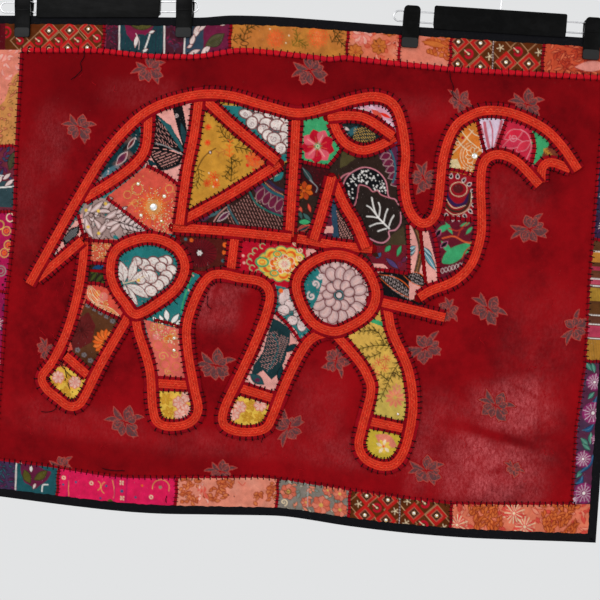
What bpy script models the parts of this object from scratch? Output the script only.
"""A patchwork wall hanging with an elephant in taped applique, gripped by two clip hangers.

The cloth pieces are drawn on a flat pattern in millimetres: u runs to the right from the middle of
the cloth, v runs down from its top edge, and the third number is the height above the front face of
the red field. Each piece is cut out flat, cut again where the cloth bends, and then laid on the
folds of the hanging cloth.

The origin is on the line of the rail, where the insides of the two hooks rest, above the middle of
the cloth. X runs to the viewer's right, Y away from the viewer and Z up.
"""
import math

import bmesh
import bpy
from mathutils import Matrix, Vector

MM = 0.001

# Cloth
CLOTH_WIDTH = 1004.0
CLOTH_HEIGHT = 773.0
FIELD_THICKNESS = 1.5
PATCH_THICKNESS = 1.0
LAYER_GAP = 0.55
PIECE_GAP = 0.3
BINDING_WIDTH = 12.0
BINDING_FRONT = 1.4
BINDING_BACK = 1.0
BINDING_EDGE = 1.2
TAPE_WIDTH = 23.0
TAPE_EDGE = 1.0
BRAID_WIDTH = 13.0
BRAID_HEIGHT = 2.0
TAPE_BOTTOM = 2 * LAYER_GAP + PATCH_THICKNESS

# Longest straight stretches along a tape and along a seam
TAPE_STEP = 30.0
SEAM_STEP = 60.0

# Hang of the cloth
TOP_DROP = 123.5
BOW_REACH = 120.0
GRIP_DEPTH = 35.0
CLOTH_BEHIND_RAIL = -8.5
CREASE_PLACE = 10.0
CREASE_DEPTH = 3.0
CREASE_SPREAD = 28.0
CREASE_TOP = 600.0
COLUMN_COUNT = 28
ROW_COUNT = 9

# Hangers
HANGER_HALF = 165.0
PLATE_LENGTH = 204.0
PLATE_HEIGHT = 32.0
PLATE_DEPTH = 9.0
PLATE_TOP = -87.0
WIRE_DIAMETER = 3.0
WIRE_DROPS = (-98.0, -114.0)
HOOK_WIRE = 3.4
HOOK_INNER_RADIUS = 20.0
CLIP_WIDTH = 26.0
CLIP_TOP = -90.0
CLIP_BOTTOM = -155.0
CLIP_SLOT = 6.0
CLIP_SLOT_TOP = -118.5
CLIP_HOLE = 3.8
RAIL_SLOPE = 0.009
CLOTH_MIDDLE = 0.6

# Folds of the cloth seen from above: place across, depth (+ is away from the viewer) and slope.
# Each hanger holds the top edge on a straight stretch.
TOP_FOLDS = (
    (-502, 40.0, -0.125),
    (-490, 38.5, -0.1252),
    (-150, -4.0, -0.125),
    (-70, -8.0, 0.0),
    (40, -4.0, 0.04),
    (120, 0.0, 0.0),
    (480, 0.0, 0.0),
    (502, 1.5, 0.1),
)
BOTTOM_FOLDS = (
    (-502, 20.0, -0.2),
    (-390, -4.0, -0.15),
    (-228, -17.0, 0.0),
    (-90, 2.0, 0.12),
    (10, 14.0, 0.0),
    (100, 3.0, -0.12),
    (273, -17.0, 0.0),
    (400, -6.0, 0.12),
    (502, 8.0, 0.12),
)
# How far the top and bottom edges bow up from a straight line: place across, rise, slope.
TOP_BOW = (
    (-502, -4.5, 0.02),
    (-166, 0.5, 0.02),
    (-110, 5.5, 0.04),
    (-25, 7.0, 0.0),
    (69, 6.2, -0.01),
    (146, 5.2, -0.011),
    (429, 2.3, -0.011),
    (502, 1.5, -0.01),
)
BOTTOM_BOW = (
    (-502, 5.5, 0.0),
    (-432, 5.5, -0.01),
    (-185, 0.3, 0.0),
    (20, 4.2, 0.0),
    (124, -0.5, -0.03),
    (275, -1.7, 0.0),
    (502, 0.0, 0.0),
)

# Seams between the field and the border: place along the seam, place across it.
TOP_SEAM = ((-502, 56), (-320, 53), (-240, 60), (-160, 59), (-100, 50), (-70, 50), (45, 55), (65, 51),
            (230, 58), (502, 57))
BOTTOM_SEAM = ((-502, 714), (-355, 715), (-250, 721), (-20, 711), (40, 715), (275, 724), (502, 714))
LEFT_SEAM = ((0, -452), (220, -448), (340, -443), (440, -448), (775, -448))
RIGHT_SEAM = ((0, 470), (370, 466), (500, 468), (600, 461), (775, 463))

# Joints between the border's patches, and the colour of each patch from the first end on.
TOP_JOINTS = (-490, -316, -113, 69, 150, 229, 371, 490)
BOTTOM_JOINTS = (-490, -340, -153, 4, 118, 275, 490)
LEFT_JOINTS = (58, 212, 317, 445, 714)
RIGHT_JOINTS = (58, 305, 493, 714)
BROWN, TEAL, OCHRE = (0.17, 0.05, 0.02), (0.05, 0.13, 0.14), (0.55, 0.26, 0.07)
CORAL, MAGENTA, PINK = (0.62, 0.10, 0.06), (0.62, 0.02, 0.12), (0.66, 0.28, 0.24)
TOP_COLOURS = (BROWN, TEAL, OCHRE, CORAL, CORAL, BROWN, OCHRE)
BOTTOM_COLOURS = (TEAL, MAGENTA, CORAL, PINK, BROWN, CORAL)
LEFT_COLOURS = (PINK, TEAL, MAGENTA, TEAL)
RIGHT_COLOURS = (TEAL, OCHRE, TEAL)

# Middle lines of the braided tapes that outline the elephant, as places across and down the cloth.
LINES = {
    "back": ((-410, 430), (-385, 380), (-340, 290), (-295, 210), (-240, 150), (-175, 122), (-115, 117),
             (-50, 130), (0, 138), (45, 126), (82, 113), (117, 106), (145, 115), (160, 142), (170, 190),
             (170, 230), (180, 275), (202, 297), (223, 277), (228, 195), (242, 147), (266, 126),
             (293, 117), (332, 120), (377, 138), (408, 164), (436, 200)),
    "trunk_inner": ((205, 412), (222, 400), (258, 382), (282, 354), (293, 312), (292, 275), (288, 233),
                    (290, 200), (303, 186), (322, 185), (345, 196), (378, 227)),
    "trunk_lip": ((380, 222), (381, 200), (394, 191), (424, 199)),
    "shoulder": ((14, 410), (24, 378), (57, 356), (90, 355), (120, 372), (138, 408), (130, 440),
                 (100, 464), (72, 473), (38, 457)),
    "hip": ((-233, 466), (-253, 448), (-271, 425), (-279, 398), (-272, 368), (-242, 350), (-208, 346),
            (-175, 360), (-161, 388), (-172, 420), (-200, 446)),
    "jaw": ((246, 440), (208, 433), (155, 424), (130, 420)),
    "front_leg": ((155, 420), (160, 443), (168, 470), (195, 523), (206, 575), (203, 622), (195, 654),
                  (182, 672), (161, 676), (138, 667), (127, 648), (130, 620), (140, 564), (134, 540),
                  (117, 515), (78, 476)),
    "belly_and_legs": ((72, 474), (46, 484), (28, 508), (5, 563), (-10, 610), (-20, 631), (-42, 639),
                       (-70, 638), (-87, 627), (-86, 603), (-68, 557), (-46, 501), (-30, 450), (-27, 420),
                       (-42, 403), (-75, 399), (-105, 395), (-124, 402), (-140, 430), (-152, 475),
                       (-149, 515), (-135, 575), (-127, 608), (-138, 629), (-165, 637), (-187, 632),
                       (-197, 610), (-206, 550), (-228, 492), (-234, 464)),
    "tail": ((-398, 421), (-365, 391), (-328, 356)),
    "far_leg": ((-325, 350), (-324, 384), (-329, 440), (-342, 500), (-362, 548), (-378, 574),
                (-370, 592), (-350, 606), (-331, 617), (-315, 613), (-304, 595), (-285, 550),
                (-255, 490), (-240, 460)),
    "rump": ((-235, 152), (-235, 202), (-250, 230), (-285, 260), (-330, 290)),
    "saddle_front": ((-156, 122), (-160, 180), (-168, 240), (-174, 322)),
    "saddle_upper": ((-150, 122), (-97, 165), (-28, 215)),
    "saddle_lower": ((-24, 217), (-65, 247), (-111, 279), (-168, 314)),
    "saddle_foot": ((-184, 327), (-95, 328), (1, 332)),
    "girth": ((-86, 330), (-90, 394)),
    "saddle_back": ((-3, 138), (-2, 225), (-2, 330)),
    "tent_left": ((58, 234), (48, 282), (36, 332)),
    "tent_right": ((58, 234), (81, 276), (98, 301), (118, 340)),
    "tent_foot": ((10, 332), (75, 339), (128, 341)),
    "eyelid": ((46, 141), (80, 137), (108, 141), (149, 165)),
    "eye": ((47, 128), (61, 161), (78, 181), (103, 189), (128, 181), (152, 166)),
    "far_anklet": ((-342, 538), (-304, 566)),
    "hind_anklet": ((-202, 571), (-134, 571)),
    "fore_anklet": ((-72, 569), (-4, 586)),
    "front_anklet": ((130, 607), (205, 617)),
}
CLOSED_LINES = ("shoulder", "hip")

# Tape pieces, in the order in which they are sewn: a later piece stops at the edge of an earlier one.
TAPES = (
    ("tape_back_and_trunk", ("back",)),
    ("tape_shoulder_ring", ("shoulder",)),
    ("tape_hip_ring", ("hip",)),
    ("tape_trunk_inner", ("trunk_inner", "trunk_lip")),
    ("tape_jaw_and_front_leg", ("jaw", "front_leg", "front_anklet")),
    ("tape_belly_and_legs", ("belly_and_legs", "fore_anklet", "hind_anklet")),
    ("tape_tail_and_far_leg", ("tail", "far_leg", "far_anklet")),
    ("tape_rump", ("rump",)),
    ("tape_saddle_front", ("saddle_front", "saddle_upper", "saddle_lower")),
    ("tape_saddle_foot", ("saddle_foot", "girth")),
    ("tape_saddle_back", ("saddle_back",)),
    ("tape_tent", ("tent_left", "tent_right", "tent_foot")),
    ("tape_eye", ("eyelid", "eye")),
)

# Patches under the tapes, with their colour. Their raw edges end below the middle of a tape.
PANELS = {
    "panel_rump": (TEAL, ((-404, 426), (-340, 294), (-295, 214), (-240, 154), (-160, 124), (-168, 240),
                          (-176, 322), (-182, 351), (-210, 344), (-246, 347), (-275, 368), (-282, 400),
                          (-322, 400), (-325, 360), (-365, 392))),
    "panel_hip": (TEAL, ((-233, 462), (-251, 446), (-268, 425), (-275, 398), (-269, 372), (-241, 354),
                         (-208, 350), (-179, 362), (-165, 388), (-175, 418), (-202, 443))),
    "panel_far_leg": (CORAL, ((-280, 404), (-273, 427), (-252, 453), (-240, 468), (-258, 490), (-287, 550),
                              (-306, 598), (-317, 613), (-331, 615), (-370, 590), (-376, 574), (-360, 546),
                              (-340, 500), (-327, 440), (-322, 404))),
    "panel_hind_leg": (CORAL, ((-158, 392), (-168, 424), (-198, 450), (-228, 470), (-226, 492), (-204, 550),
                               (-195, 610), (-186, 630), (-165, 635), (-140, 628), (-130, 608), (-137, 575),
                               (-151, 515), (-154, 475), (-142, 430), (-128, 402))),
    "panel_saddle": (OCHRE, ((-156, 124), (-115, 120), (-50, 133), (-5, 141), (-5, 328), (-88, 326),
                             (-171, 323), (-164, 240), (-158, 180))),
    "panel_belly_and_fore_leg": (TEAL, ((-171, 329), (-88, 331), (10, 335), (30, 342), (48, 354), (20, 378),
                                        (10, 410), (17, 432), (34, 460), (42, 480), (26, 508), (3, 563),
                                        (-12, 608), (-22, 629), (-42, 636), (-70, 635), (-84, 625),
                                        (-83, 603), (-66, 557), (-44, 501), (-28, 450), (-30, 420),
                                        (-45, 401), (-105, 393), (-140, 392), (-156, 388), (-172, 357))),
    "panel_head": (BROWN, ((1, 141), (45, 129), (82, 116), (117, 109), (143, 117), (157, 142), (167, 190),
                           (167, 230), (177, 275), (196, 298), (207, 370), (214, 402), (205, 415), (240, 437),
                           (208, 430), (142, 419), (139, 400), (122, 370), (92, 351), (57, 351), (30, 337),
                           (1, 329))),
    "panel_trunk": (PINK, ((202, 300), (226, 279), (231, 195), (245, 149), (268, 129), (293, 120), (332, 123),
                           (375, 141), (405, 167), (428, 197), (394, 191), (381, 200), (379, 223), (345, 194),
                           (322, 183), (301, 184), (287, 200), (285, 233), (289, 275), (290, 312), (280, 352),
                           (256, 380), (218, 399))),
    "panel_front_leg": (OCHRE, ((141, 423), (158, 428), (166, 470), (193, 523), (204, 575), (201, 622),
                                (193, 652), (181, 670), (161, 673), (140, 665), (130, 648), (133, 620),
                                (142, 564), (136, 540), (119, 515), (80, 480), (103, 466), (132, 443))),
    "panel_shoulder": (TEAL, ((18, 410), (27, 380), (57, 360), (90, 359), (117, 374), (134, 408), (127, 438),
                              (98, 460), (72, 469), (41, 454))),
}

# Hangers: name, place across, depth of the cloth there, turn about the upright, tilt, and where its
# two clips grip, from the middle of the plate.
HANGERS = (
    ("left", -331.0, 18.3, -7.13, -1.5, (-124.0, 142.0)),
    ("right", 303.0, 0.0, 0.0, 0.7, (-136.0, 142.0)),
)

RED, BLACK, BRAID_RED = (0.26, 0.004, 0.010), (0.012, 0.012, 0.014), (0.62, 0.035, 0.012)
CHROME, PLASTIC = (0.75, 0.75, 0.76), (0.015, 0.015, 0.016)


def clear_scene():
    for old in list(bpy.data.objects):
        bpy.data.objects.remove(old, do_unlink=True)


def collection(name):
    made = bpy.data.collections.new(name)
    bpy.context.scene.collection.children.link(made)
    return made


def material(name, colour, roughness, metallic=0.0):
    made = bpy.data.materials.new(name)
    made.use_nodes = True
    shader = made.node_tree.nodes["Principled BSDF"]
    shader.inputs["Base Color"].default_value = (*colour, 1.0)
    shader.inputs["Roughness"].default_value = roughness
    shader.inputs["Metallic"].default_value = metallic
    return made


def hermite(knots, at):
    """Height at one place on a smooth line through (place, height, slope) knots."""
    at = min(max(at, knots[0][0]), knots[-1][0])
    for (a, low, slope_a), (b, high, slope_b) in zip(knots, knots[1:]):
        if at <= b:
            break
    t, span = (at - a) / (b - a), b - a
    return (
        low * (1 + 2 * t) * (1 - t) ** 2
        + high * t * t * (3 - 2 * t)
        + span * (slope_a * t * (1 - t) ** 2 - slope_b * t * t * (1 - t))
    )


def between(knots, at):
    """Height at one place on straight runs between (place, height) knots."""
    for (a, low), (b, high) in zip(knots, knots[1:]):
        if at <= b:
            break
    return low + (high - low) * (at - a) / (b - a)


def cloth_depth(u, v):
    """How far the front face of the field lies behind the rail's upright plane."""
    fall = min(max((v - GRIP_DEPTH) / (CLOTH_HEIGHT - GRIP_DEPTH), 0.0), 1.0)
    depth = (1 - fall) * hermite(TOP_FOLDS, u) + fall * hermite(BOTTOM_FOLDS, u)
    rise = min(max((v - CREASE_TOP) / (CLOTH_HEIGHT - CREASE_TOP), 0.0), 1.0)
    crease = math.exp(-(((u - CREASE_PLACE) / CREASE_SPREAD) ** 2))
    return depth + CLOTH_BEHIND_RAIL + CREASE_DEPTH * rise * crease


def cloth_height(u, v):
    """Height of a point of the cloth below the rail. The top and bottom edges are bowed."""
    top_share = max(1 - v / BOW_REACH, 0.0)
    bottom_share = max(1 - (CLOTH_HEIGHT - v) / BOW_REACH, 0.0)
    return hermite(TOP_BOW, u) * top_share + hermite(BOTTOM_BOW, u) * bottom_share - TOP_DROP - v


def smooth_line(points, closed, step):
    """Places at even steps along a smooth curve through the points."""
    count = len(points)
    ends = range(count) if closed else range(count - 1)
    placed = []
    for i in ends:
        near = [(i + k) % count if closed else min(max(i + k, 0), count - 1) for k in (-1, 0, 1, 2)]
        p = [Vector(points[k]) for k in near]
        parts = max(1, round((p[2] - p[1]).length / step))
        for j in range(parts):
            t = j / parts
            placed.append(
                0.5 * (2 * p[1] + (p[2] - p[0]) * t + (2 * p[0] - 5 * p[1] + 4 * p[2] - p[3]) * t * t
                       + (3 * p[1] - p[0] - 3 * p[2] + p[3]) * t ** 3)
            )
    return placed if closed else placed + [Vector(points[-1])]


def flat_curve(name, places, closed):
    """A 2D curve on the flat pattern, with down the cloth as minus Y."""
    data = bpy.data.curves.new(name, "CURVE")
    data.dimensions = "2D"
    spline = data.splines.new("POLY")
    spline.points.add(len(places) - 1)
    for point, (u, v) in zip(spline.points, places):
        point.co = (u, -v, 0, 1)
    spline.use_cyclic_u = closed
    return bpy.data.objects.new(name, data)


def face_out(shape):
    """Turn every face of a closed solid outwards."""
    bmesh.ops.recalc_face_normals(shape, faces=shape.faces)
    if shape.calc_volume(signed=True) < 0:
        bmesh.ops.reverse_faces(shape, faces=shape.faces)


def as_mesh(maker, group):
    """A curve object made into a mesh object of the same name, with its caps welded."""
    group.objects.link(maker)
    bpy.context.view_layer.update()
    graph = bpy.context.evaluated_depsgraph_get()
    mesh = bpy.data.meshes.new_from_object(maker.evaluated_get(graph))
    name = maker.name
    bpy.data.objects.remove(maker, do_unlink=True)
    shape = bmesh.new()
    shape.from_mesh(mesh)
    bmesh.ops.remove_doubles(shape, verts=shape.verts, dist=0.0005)
    face_out(shape)
    shape.to_mesh(mesh)
    shape.free()
    made = bpy.data.objects.new(name, mesh)
    group.objects.link(made)
    return made


def cut_flat(name, outline, low, high, group):
    """A flat piece of cloth with this outline, between two heights above the field."""
    maker = flat_curve(name, outline, True)
    maker.data.fill_mode = "BOTH"
    maker.data.extrude = (high - low) / 2
    made = as_mesh(maker, group)
    made.data.transform(Matrix.Translation((0, 0, (low + high) / 2)))
    return made


def tape_section(group):
    """The outline of a tape cut across: thin edges and the raised braid between them."""
    half, braid = TAPE_WIDTH / 2, BRAID_WIDTH / 2
    outline = ((-half, 0), (half, 0), (half, TAPE_EDGE), (braid, BRAID_HEIGHT), (-braid, BRAID_HEIGHT),
               (-half, TAPE_EDGE))
    section = flat_curve("tape_section", [(x, -y) for x, y in outline], True)
    group.objects.link(section)
    return section


def cutter_section(group):
    half = TAPE_WIDTH / 2 + PIECE_GAP
    outline = ((-half, -4), (half, -4), (half, 8), (-half, 8))
    section = flat_curve("cutter_section", [(x, -y) for x, y in outline], True)
    group.objects.link(section)
    return section


def lay_tape(name, line, section, group):
    """One stretch of tape swept along its middle line."""
    closed = line in CLOSED_LINES
    maker = flat_curve(name, smooth_line(LINES[line], closed, TAPE_STEP), closed)
    maker.data.bevel_mode = "OBJECT"
    maker.data.bevel_object = section
    maker.data.use_fill_caps = not closed
    made = as_mesh(maker, group)
    made.data.transform(Matrix.Translation((0, 0, TAPE_BOTTOM)))
    return made


def combine(target, other, operation):
    """Join another solid to the target, or cut it away, and remove it."""
    change = target.modifiers.new(operation.lower(), "BOOLEAN")
    change.operation = operation
    change.object = other
    bpy.context.view_layer.update()
    graph = bpy.context.evaluated_depsgraph_get()
    mesh = bpy.data.meshes.new_from_object(target.evaluated_get(graph))
    target.modifiers.clear()
    target.data = mesh
    bpy.data.objects.remove(other, do_unlink=True)


def drop_offcuts(piece):
    """Keep the largest body of a piece after its ends are trimmed."""
    shape = bmesh.new()
    shape.from_mesh(piece.data)
    waiting = set(shape.verts)
    bodies = []
    while waiting:
        body, front = set(), [waiting.pop()]
        while front:
            vert = front.pop()
            body.add(vert)
            near = [edge.other_vert(vert) for edge in vert.link_edges]
            front += [other for other in near if other in waiting]
            waiting.difference_update(near)
        bodies.append(body)
    bodies.sort(key=len)
    loose = [vert for body in bodies[:-1] for vert in body]
    bmesh.ops.delete(shape, geom=loose, context="VERTS")
    shape.to_mesh(piece.data)
    shape.free()


def hang(piece):
    """Cut a flat piece where the cloth bends and lay it on the folds, in metres."""
    shape = bmesh.new()
    shape.from_mesh(piece.data)
    hem, pitch = CLOTH_WIDTH / 2 - BINDING_WIDTH, CLOTH_WIDTH / COLUMN_COUNT
    columns = [pitch * (i - COLUMN_COUNT / 2) for i in range(1, COLUMN_COUNT)]
    columns += [-hem, hem] + [pitch * share for share in (-1.5, -0.5, 0.5, 1.5)]
    span = (CLOTH_HEIGHT - GRIP_DEPTH) / ROW_COUNT
    rows = [GRIP_DEPTH + span * i for i in range(ROW_COUNT)]
    cuts = [((u, 0, 0), (1, 0, 0)) for u in columns] + [((0, -v, 0), (0, 1, 0)) for v in rows]
    for place, normal in cuts:
        whole = shape.verts[:] + shape.edges[:] + shape.faces[:]
        bmesh.ops.bisect_plane(shape, geom=whole, dist=0.001, plane_co=place, plane_no=normal)
    bmesh.ops.triangulate(shape, faces=shape.faces)
    for vert in shape.verts:
        u, v, rise = vert.co.x, -vert.co.y, vert.co.z
        vert.co = Vector((u, cloth_depth(u, v) - rise, cloth_height(u, v))) * MM
    face_out(shape)
    shape.to_mesh(piece.data)
    shape.free()


def finish(piece, colour, roughness=0.9, metallic=0.0):
    piece.data.materials.clear()
    piece.data.materials.append(material(piece.name, colour, roughness, metallic))


def make_field(group):
    half = CLOTH_WIDTH / 2
    outline = ((-half, 0), (half, 0), (half, CLOTH_HEIGHT), (-half, CLOTH_HEIGHT))
    field = cut_flat("field", outline, -FIELD_THICKNESS, 0, group)
    hang(field)
    finish(field, RED)


def make_binding(group):
    """Black tape folded round each edge of the field, open towards the middle of the cloth."""
    inner = BINDING_WIDTH
    outer = -LAYER_GAP - BINDING_EDGE
    front, back = LAYER_GAP, -FIELD_THICKNESS - LAYER_GAP
    section = (
        (outer, back - BINDING_BACK), (outer, front + BINDING_FRONT), (inner, front + BINDING_FRONT),
        (inner, front), (-LAYER_GAP, front), (-LAYER_GAP, back), (inner, back), (inner, back - BINDING_BACK),
    )
    half_width, half_height = CLOTH_WIDTH / 2, CLOTH_HEIGHT / 2
    long_run = half_width - outer
    short_run = half_height - inner - PIECE_GAP
    sides = (
        ("binding_top", long_run, 0, (0, 0)),
        ("binding_right", short_run, -90, (half_width, half_height)),
        ("binding_bottom", long_run, 180, (0, CLOTH_HEIGHT)),
        ("binding_left", short_run, 90, (-half_width, half_height)),
    )
    for name, run, turn, (u, v) in sides:
        maker = flat_curve(name, [(across, height) for across, height in section], True)
        maker.data.fill_mode = "BOTH"
        maker.data.extrude = run
        strip = as_mesh(maker, group)
        upright = Matrix(((0, 0, 1, 0), (-1, 0, 0, 0), (0, -1, 0, 0), (0, 0, 0, 1)))
        turned = Matrix.Rotation(math.radians(turn), 4, "Z")
        strip.data.transform(Matrix.Translation((u, -v, 0)) @ turned @ upright)
        hang(strip)
        finish(strip, BLACK)


def make_border(group):
    """Patches between the binding and the field's seam, side by side along each edge."""
    edge = BINDING_WIDTH + PIECE_GAP
    sides = (
        ("border_top", TOP_JOINTS, TOP_COLOURS, TOP_SEAM, edge, False),
        ("border_bottom", BOTTOM_JOINTS, BOTTOM_COLOURS, BOTTOM_SEAM, CLOTH_HEIGHT - edge, False),
        ("border_left", LEFT_JOINTS, LEFT_COLOURS, LEFT_SEAM, edge - CLOTH_WIDTH / 2, True),
        ("border_right", RIGHT_JOINTS, RIGHT_COLOURS, RIGHT_SEAM, CLOTH_WIDTH / 2 - edge, True),
    )
    for side, joints, colours, seam, outer, upright in sides:
        for number, (start, end, colour) in enumerate(zip(joints, joints[1:], colours), 1):
            start, end = start + PIECE_GAP, end - PIECE_GAP
            if upright and number == 1:
                start = between(TOP_SEAM, outer) + 2 * PIECE_GAP
            if upright and number == len(colours):
                end = between(BOTTOM_SEAM, outer) - 2 * PIECE_GAP
            steps = max(1, round((end - start) / SEAM_STEP))
            places = [start + (end - start) * i / steps for i in range(steps + 1)]
            outline = [(start, outer), (end, outer)]
            outline += [(place, between(seam, place)) for place in reversed(places)]
            if upright:
                outline = [(across, along) for along, across in outline]
            low, high = LAYER_GAP, LAYER_GAP + PATCH_THICKNESS
            patch = cut_flat(f"{side}_{number}", outline, low, high, group)
            hang(patch)
            finish(patch, colour)


def make_panels(group):
    for name, (colour, outline) in PANELS.items():
        panel = cut_flat(name, outline, LAYER_GAP, LAYER_GAP + PATCH_THICKNESS, group)
        hang(panel)
        finish(panel, colour)


def make_tapes(group, cutters):
    section, wide_section = tape_section(cutters), cutter_section(cutters)
    sewn = []
    for name, lines in TAPES:
        tape = lay_tape(name, lines[0], section, group)
        for line in lines[1:]:
            combine(tape, lay_tape(line, line, section, group), "UNION")
        for line in sewn:
            combine(tape, lay_tape("cut_" + line, line, wide_section, group), "DIFFERENCE")
        drop_offcuts(tape)
        sewn += lines
        hang(tape)
        finish(tape, BRAID_RED)
    for helper in (section, wide_section):
        bpy.data.objects.remove(helper, do_unlink=True)


def bent_wire(name, places, diameter, group):
    """A round wire along places in the hanger's own upright plane."""
    data = bpy.data.curves.new(name, "CURVE")
    data.dimensions = "3D"
    data.bevel_depth = diameter / 2 * MM
    data.bevel_resolution = 2
    data.use_fill_caps = True
    spline = data.splines.new("POLY")
    spline.points.add(len(places) - 1)
    for point, (x, z) in zip(spline.points, places):
        point.co = (x * MM, 0, z * MM, 1)
    return as_mesh(bpy.data.objects.new(name, data), group)


def arc(centre, radius, start, end, steps):
    """Places on an arc, with angles in degrees from the right, upwards."""
    turns = [math.radians(start + (end - start) * i / steps) for i in range(steps + 1)]
    return [(centre[0] + radius * math.cos(a), centre[1] + radius * math.sin(a)) for a in turns]


def hairpin(side):
    """The two rods at one end of a hanger, joined by a round bend."""
    upper, lower = WIRE_DROPS
    radius = (upper - lower) / 2
    start = PLATE_LENGTH / 2 + PIECE_GAP
    bend = arc((HANGER_HALF - radius - WIRE_DIAMETER / 2, (upper + lower) / 2), radius, 90, -90, 8)
    return [(side * x, z) for x, z in [(start, upper), *bend, (start, lower)]]


def hook_places():
    """Up from the plate, out to one side and over the rail."""
    radius = HOOK_INNER_RADIUS + HOOK_WIRE / 2
    over = arc((0, -HOOK_INNER_RADIUS), radius, 0, 205, 16)
    neck = smooth_line(((0, -62), (2, -54), (14, -42), over[0]), False, 5)
    return [(0, PLATE_TOP + PIECE_GAP), *[(x, z) for x, z in neck[:-1]], *over]


def clip_outline():
    """Side view of a spring clip: two finger ears, the body and the jaws with the slot for the cloth."""
    slot = CLIP_SLOT / 2
    ear, waist, jaw = 9.5, 6.9, 6.2
    front = ((ear, CLIP_TOP), (waist, -118), (jaw, CLIP_BOTTOM), (slot, CLIP_BOTTOM), (slot, CLIP_SLOT_TOP))
    back = [(-y, z) for y, z in reversed(front)]
    return [*front, *back, (-ear + 3.2, CLIP_TOP), (0, -95), (ear - 3.2, CLIP_TOP)]


def make_clip(name, place, group):
    maker = flat_curve(name, [(y, -z) for y, z in clip_outline()], True)
    maker.data.fill_mode = "BOTH"
    maker.data.extrude = CLIP_WIDTH / 2
    clip = as_mesh(maker, group)
    upright = Matrix(((0, 0, 1, 0), (1, 0, 0, 0), (0, 1, 0, 0), (0, 0, 0, 1)))
    clip.data.transform(Matrix.Scale(MM, 4) @ Matrix.Translation((place, 0, 0)) @ upright)
    for drop in WIRE_DROPS:
        bpy.ops.mesh.primitive_cylinder_add(
            vertices=12, radius=CLIP_HOLE / 2 * MM, depth=2 * CLIP_WIDTH * MM,
            location=(place * MM, 0, drop * MM), rotation=(0, math.pi / 2, 0),
        )
        combine(clip, bpy.context.object, "DIFFERENCE")
    return clip


def make_hanger(label, place, depth, turn, tilt, clip_places, group):
    """One clip hanger, plain, swung on its hook to the slope and turn of the cloth."""
    bpy.ops.mesh.primitive_cube_add(size=1)
    plate = bpy.context.object
    plate.name = f"hanger_{label}_plate"
    middle = PLATE_TOP - PLATE_HEIGHT / 2
    size = Matrix.Diagonal((PLATE_LENGTH * MM, PLATE_DEPTH * MM, PLATE_HEIGHT * MM, 1))
    plate.data.transform(Matrix.Translation((0, 0, middle * MM)) @ size)
    for old in plate.users_collection:
        old.objects.unlink(plate)
    group.objects.link(plate)
    finish(plate, PLASTIC, 0.35)
    pieces = [plate]
    for side, word, grip in ((-1, "a", clip_places[0]), (1, "b", clip_places[1])):
        wire = bent_wire(f"hanger_{label}_wire_{word}", hairpin(side), WIRE_DIAMETER, group)
        finish(wire, CHROME, 0.25, 1.0)
        clip = make_clip(f"hanger_{label}_clip_{word}", grip, group)
        finish(clip, PLASTIC, 0.4)
        pieces += [wire, clip]
    hook = bent_wire(f"hanger_{label}_hook", hook_places(), HOOK_WIRE, group)
    finish(hook, CHROME, 0.2, 1.0)
    pieces.append(hook)
    swing = Matrix.Rotation(math.radians(turn), 4, "Z") @ Matrix.Rotation(math.radians(tilt), 4, "Y")
    hung_at = Vector((place, depth + CLOTH_BEHIND_RAIL + CLOTH_MIDDLE, place * RAIL_SLOPE)) * MM
    for piece in pieces:
        piece.matrix_world = Matrix.Translation(hung_at) @ swing


def main():
    clear_scene()
    part = collection("wall_hanging")
    cutters = collection("cutters")
    make_field(part)
    make_binding(part)
    make_border(part)
    make_panels(part)
    make_tapes(part, cutters)
    for row in HANGERS:
        make_hanger(*row, part)


main()
